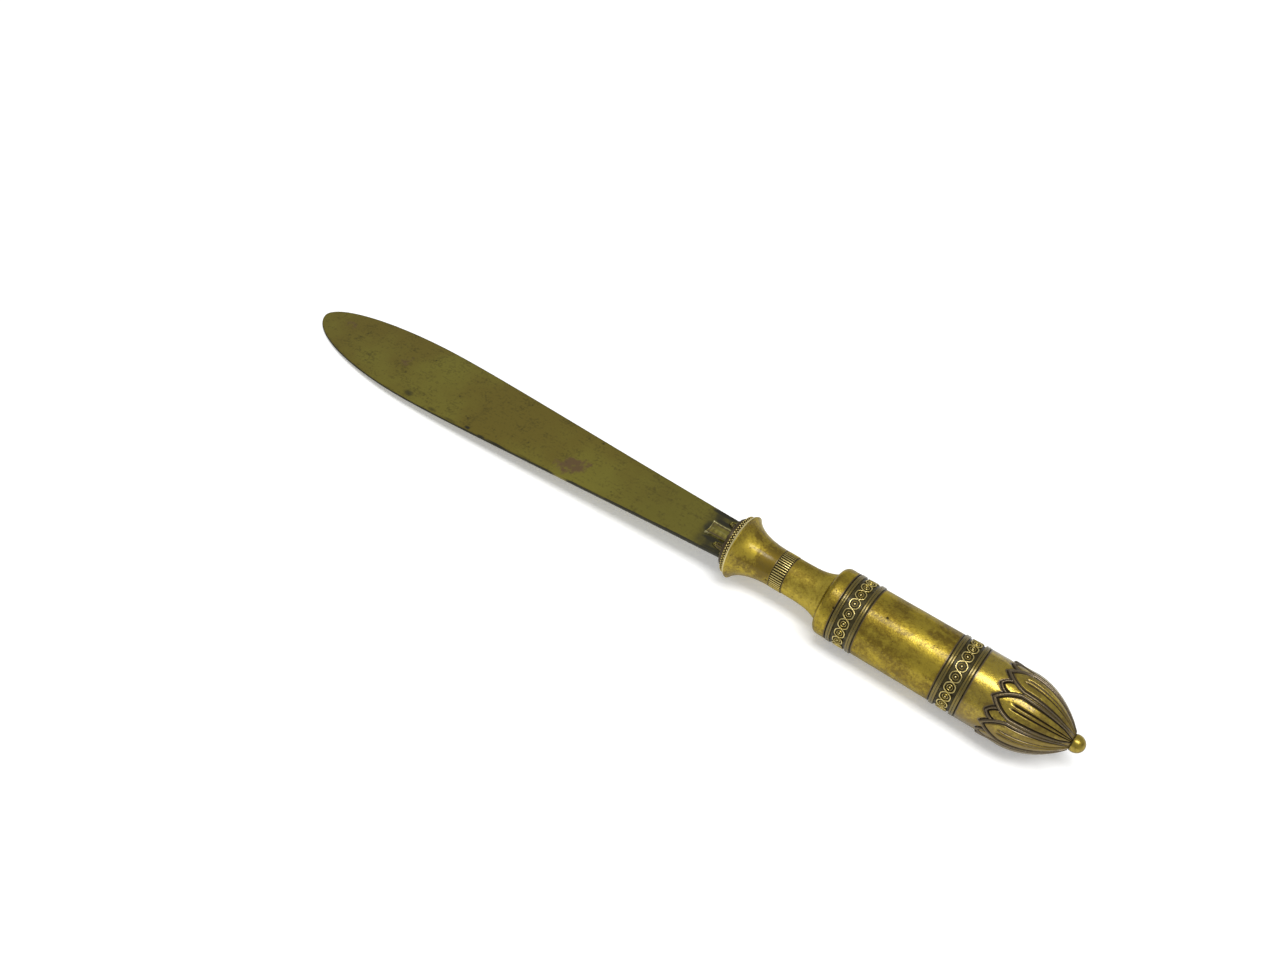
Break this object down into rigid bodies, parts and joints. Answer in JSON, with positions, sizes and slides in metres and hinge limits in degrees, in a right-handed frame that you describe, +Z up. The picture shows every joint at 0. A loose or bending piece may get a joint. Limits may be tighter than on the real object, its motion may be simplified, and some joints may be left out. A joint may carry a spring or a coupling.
{
  "type": "letter opener",
  "caption": "Brass letter opener: a flat leaf-shaped blade on a turned handle with a bell guard, slim neck, banded barrel, and a leaf-bud pommel that ends in a small ball.",
  "frame": {"origin": "middle of the bounding box, at the level of the desk that the opener lies on", "axes": "+X along the handle, from the ball to the blade's tip, +Z up from the desk, +Y across the blade"},
  "size_m": [0.2398, 0.0214, 0.0183],
  "materials": {
    "blade_brass": "dull olive patina with brown stains",
    "worn_brass": "satin, worn bright by handling, with fine pits",
    "chased_brass": "chased, bright on the crests and dark in the recesses",
    "rod_steel": "plain turned steel, hidden inside",
    "core_wood": "plain turned hardwood, hidden inside"
  },
  "bodies": {
    "root": {"blade": "blade_brass", "root_collar": "chased_brass", "bead_ring": "chased_brass", "bell_guard": "worn_brass", "reeded_ring": "chased_brass", "trumpet_neck": "worn_brass", "shoulder_cap": "worn_brass", "front_band": "chased_brass", "grip_barrel": "worn_brass", "rear_band": "chased_brass", "leaf_bud": "chased_brass", "ball_finial": "worn_brass", "tie_rod": "rod_steel", "tang_pins": "rod_steel", "core_dowel": "core_wood"}
  },
  "joints": []
}
